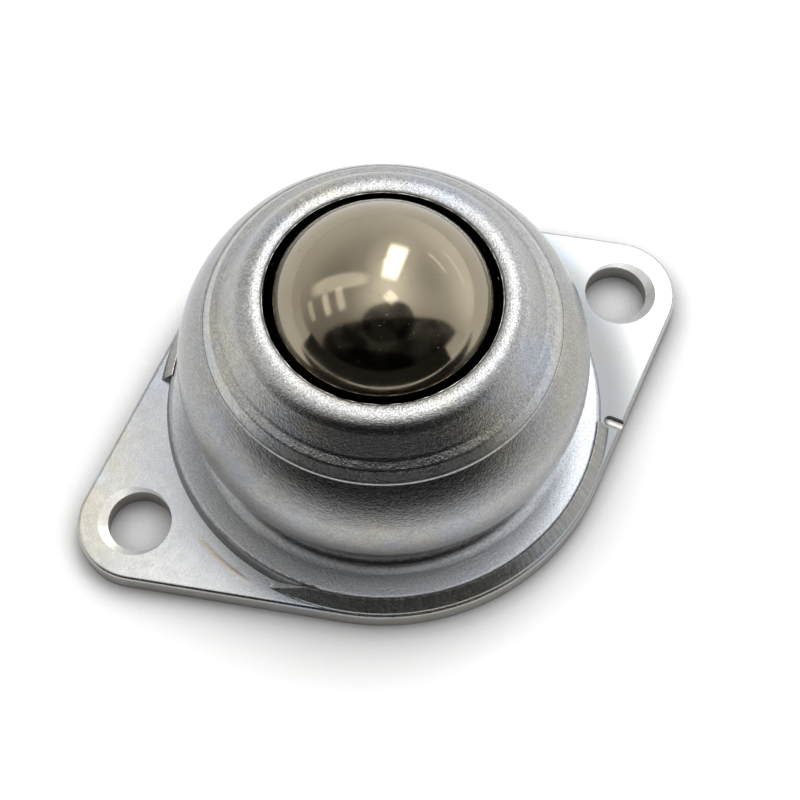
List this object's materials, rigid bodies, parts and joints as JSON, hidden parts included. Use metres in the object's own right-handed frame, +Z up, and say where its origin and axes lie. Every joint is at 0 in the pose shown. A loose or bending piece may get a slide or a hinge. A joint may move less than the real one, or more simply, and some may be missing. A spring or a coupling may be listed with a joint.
{
  "type": "ball castor",
  "caption": "Ball castor: a big steel ball rolling on a bed of small ones in a bulging pressed housing, crimped to a diamond-shaped plate with a bolt hole in each ear.",
  "frame": {"origin": "middle of the base plate's underside, on the ball's vertical axis", "axes": "+X runs through the two ears, +Z points up from the plate to the ball, Y crosses the waist"},
  "size_m": [0.074, 0.0508, 0.0346],
  "materials": {
    "plate_zinc": "bright zinc plated pressed steel, faint passivation tint",
    "cover_zinc": "satin zinc plated drawn steel",
    "seat_steel": "turned and hardened steel",
    "ball_steel": "ground and polished steel",
    "bearing_steel": "polished bearing steel"
  },
  "bodies": {
    "housing": {"base_plate": "plate_zinc", "cover": "cover_zinc", "ball_seat": "seat_steel"},
    "ball_bed": {"bearing_balls_0": "bearing_steel", "bearing_balls_1": "bearing_steel", "bearing_balls_2": "bearing_steel", "bearing_balls_3": "bearing_steel", "bearing_balls_4": "bearing_steel", "bearing_balls_5": "bearing_steel", "bearing_balls_6": "bearing_steel"},
    "ball": {"main_ball": "ball_steel"}
  },
  "joints": [
    {"name": "bed_circulation", "type": "hinge", "parent": "housing", "child": "ball_bed", "pos_m": [0, 0, 0.02192], "axis": [0, 0, 1], "continuous": true},
    {"name": "ball_roll", "type": "hinge", "parent": "ball_bed", "child": "ball", "pos_m": [0, 0, 0.02192], "axis": [1, 0, 0], "continuous": true}
  ]
}
